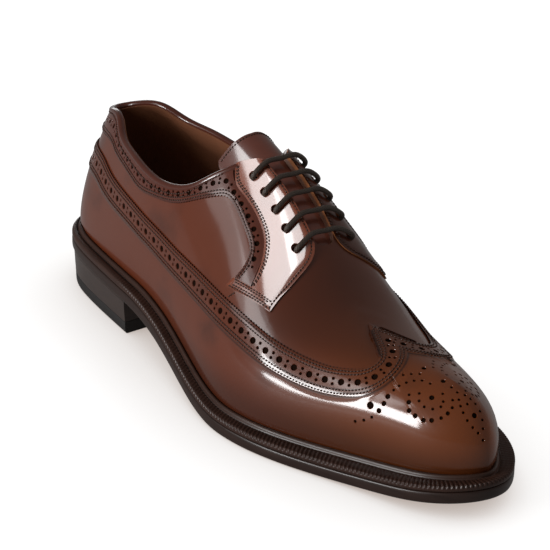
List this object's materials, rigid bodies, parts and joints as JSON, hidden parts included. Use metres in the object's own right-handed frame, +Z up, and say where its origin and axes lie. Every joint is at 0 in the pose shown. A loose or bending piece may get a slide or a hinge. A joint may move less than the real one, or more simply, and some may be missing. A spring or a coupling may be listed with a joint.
{
  "type": "derby shoe",
  "caption": "Lace-up leather derby shoe with winged, punched decoration, storm welt, leather sole and stacked heel, open at collar and throat.",
  "frame": {"origin": "on the floor under the middle of the shoe's length and width", "axes": "+X towards the toe, +Y towards the inner (medial) side, +Z up"},
  "size_m": [0.3, 0.1034, 0.1113],
  "materials": {
    "upper_leather": "polished, burnished darker on the vamp",
    "band_leather": "polished",
    "lining_leather": "matt",
    "sole_leather": "dark stained edge with a low sheen",
    "top_piece_rubber": "matt",
    "lace_cord": "waxed round cord"
  },
  "bodies": {
    "root": {"outsole": "sole_leather", "heel_stack": "sole_leather", "welt": "sole_leather", "top_piece": "top_piece_rubber", "insole": "lining_leather", "upper": "upper_leather", "wing": "upper_leather", "collar_band": "band_leather", "facing_lateral": "upper_leather", "facing_medial": "upper_leather", "tongue": "upper_leather", "lace_bar_1": "lace_cord", "lace_bar_2": "lace_cord", "lace_bar_3": "lace_cord", "lace_bar_4": "lace_cord", "lace_bar_5": "lace_cord"}
  },
  "joints": []
}
